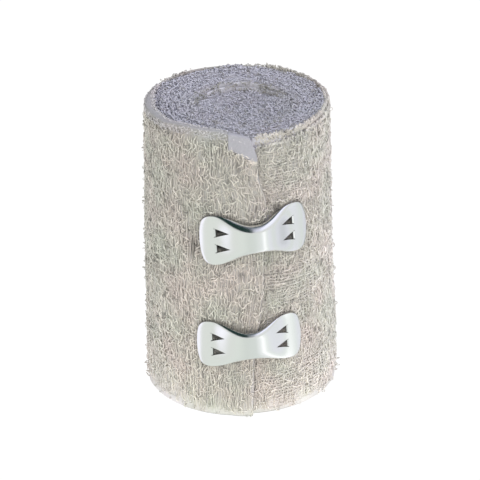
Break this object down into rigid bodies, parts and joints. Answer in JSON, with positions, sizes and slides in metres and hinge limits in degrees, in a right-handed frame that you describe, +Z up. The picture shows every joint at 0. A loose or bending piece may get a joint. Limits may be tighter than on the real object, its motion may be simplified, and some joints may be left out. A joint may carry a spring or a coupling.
{
  "type": "crepe bandage roll",
  "caption": "Roll of soft crinkled crepe bandage standing on end, its loose hemmed end held down by stamped bow-tie metal clips with bent teeth.",
  "frame": {"origin": "middle of the flat lower end, on the surface the roll stands on", "axes": "+Z up along the roll's axis, -Y towards the front with the clips and the loose end, +X to the right seen from the front"},
  "size_m": [0.0476, 0.0507, 0.0757],
  "materials": {
    "crepe": "crinkled undyed cotton crepe",
    "clip_metal": "bright rolled sheet"
  },
  "bodies": {
    "root": {"crepe_roll": "crepe", "clip_upper": "clip_metal", "clip_lower": "clip_metal"}
  },
  "joints": []
}
